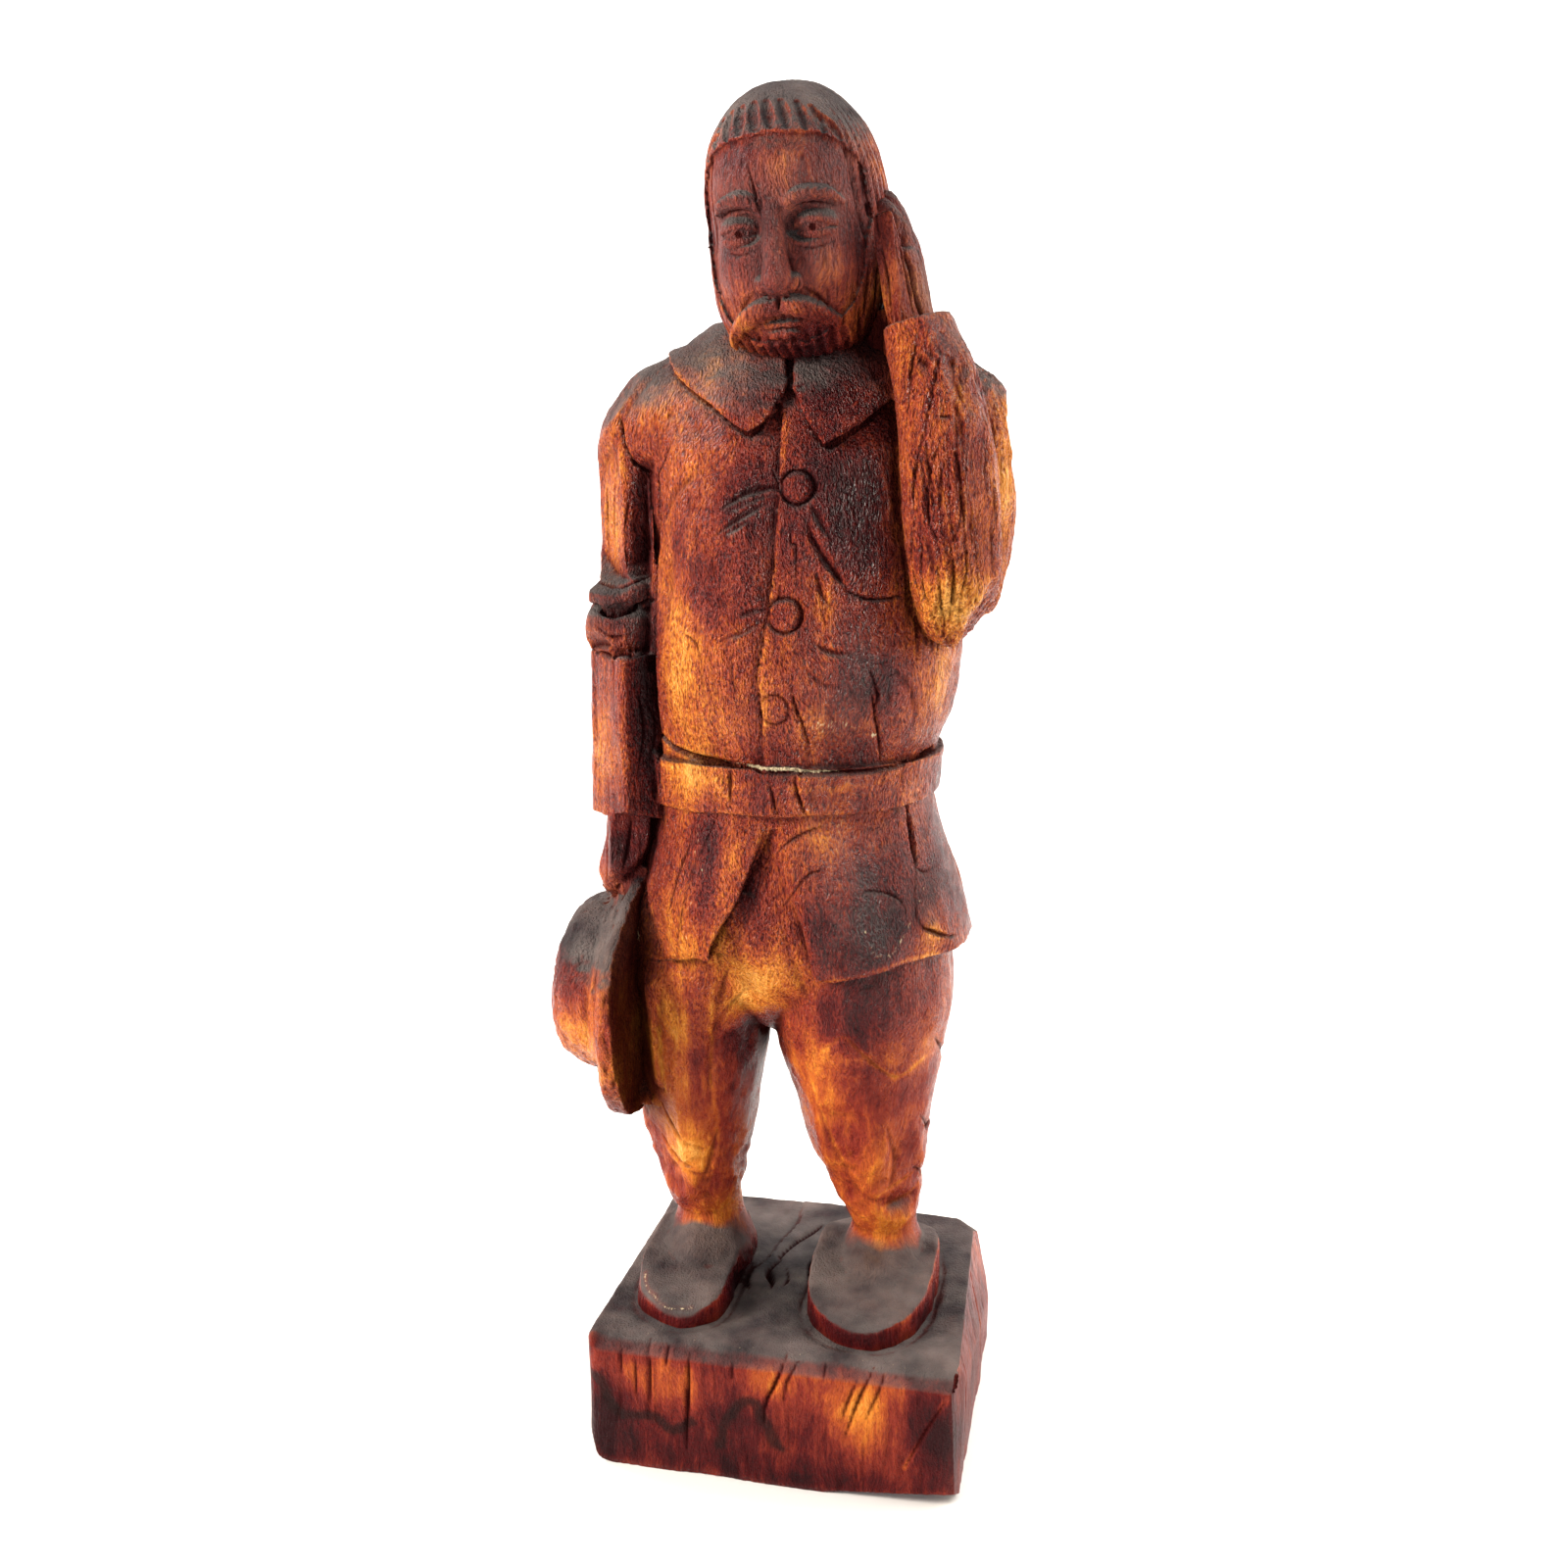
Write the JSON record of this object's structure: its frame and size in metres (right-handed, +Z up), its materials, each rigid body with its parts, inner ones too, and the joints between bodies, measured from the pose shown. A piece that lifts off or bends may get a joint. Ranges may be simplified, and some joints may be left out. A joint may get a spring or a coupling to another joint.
{
  "type": "carved wooden figure",
  "caption": "Folk wood carving of a stout man in a belted coat, one hand raised to his bowed head and the other holding a hat at his thigh, standing on a block plinth of the same log.",
  "frame": {"origin": "middle of the plinth's underside", "axes": "+Z up, the figure faces -Y, the raised arm is on the +X side"},
  "size_m": [0.1468, 0.108, 0.4298],
  "materials": {
    "carved_wood": "oiled red-brown hardwood with a satin sheen, dusty where it faces up"
  },
  "bodies": {
    "root": {"carved_figure": "carved_wood"}
  },
  "joints": []
}
